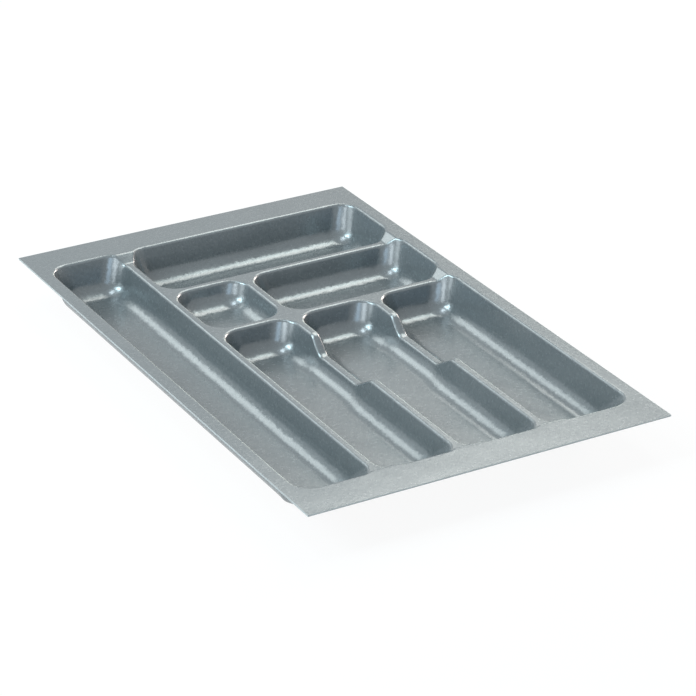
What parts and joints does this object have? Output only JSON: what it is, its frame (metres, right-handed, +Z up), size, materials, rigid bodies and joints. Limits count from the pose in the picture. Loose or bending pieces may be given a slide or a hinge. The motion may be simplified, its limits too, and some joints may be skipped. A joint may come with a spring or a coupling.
{
  "type": "cutlery tray",
  "caption": "Shallow thermoformed drawer insert with cutlery slots, cross compartments, a long side compartment, a finger dip and a flat trimmable flange.",
  "frame": {"origin": "centre of the tray's outline in plan, level with the underside of the compartments that it stands on", "axes": "+X to the tray's right, with the long compartment on the left at -X, +Y to its rear, +Z up"},
  "size_m": [0.322, 0.52, 0.034],
  "materials": {
    "tray_shell": "silver-grey, satin with a fine grain"
  },
  "bodies": {
    "root": {"tray_shell": "tray_shell"}
  },
  "joints": []
}
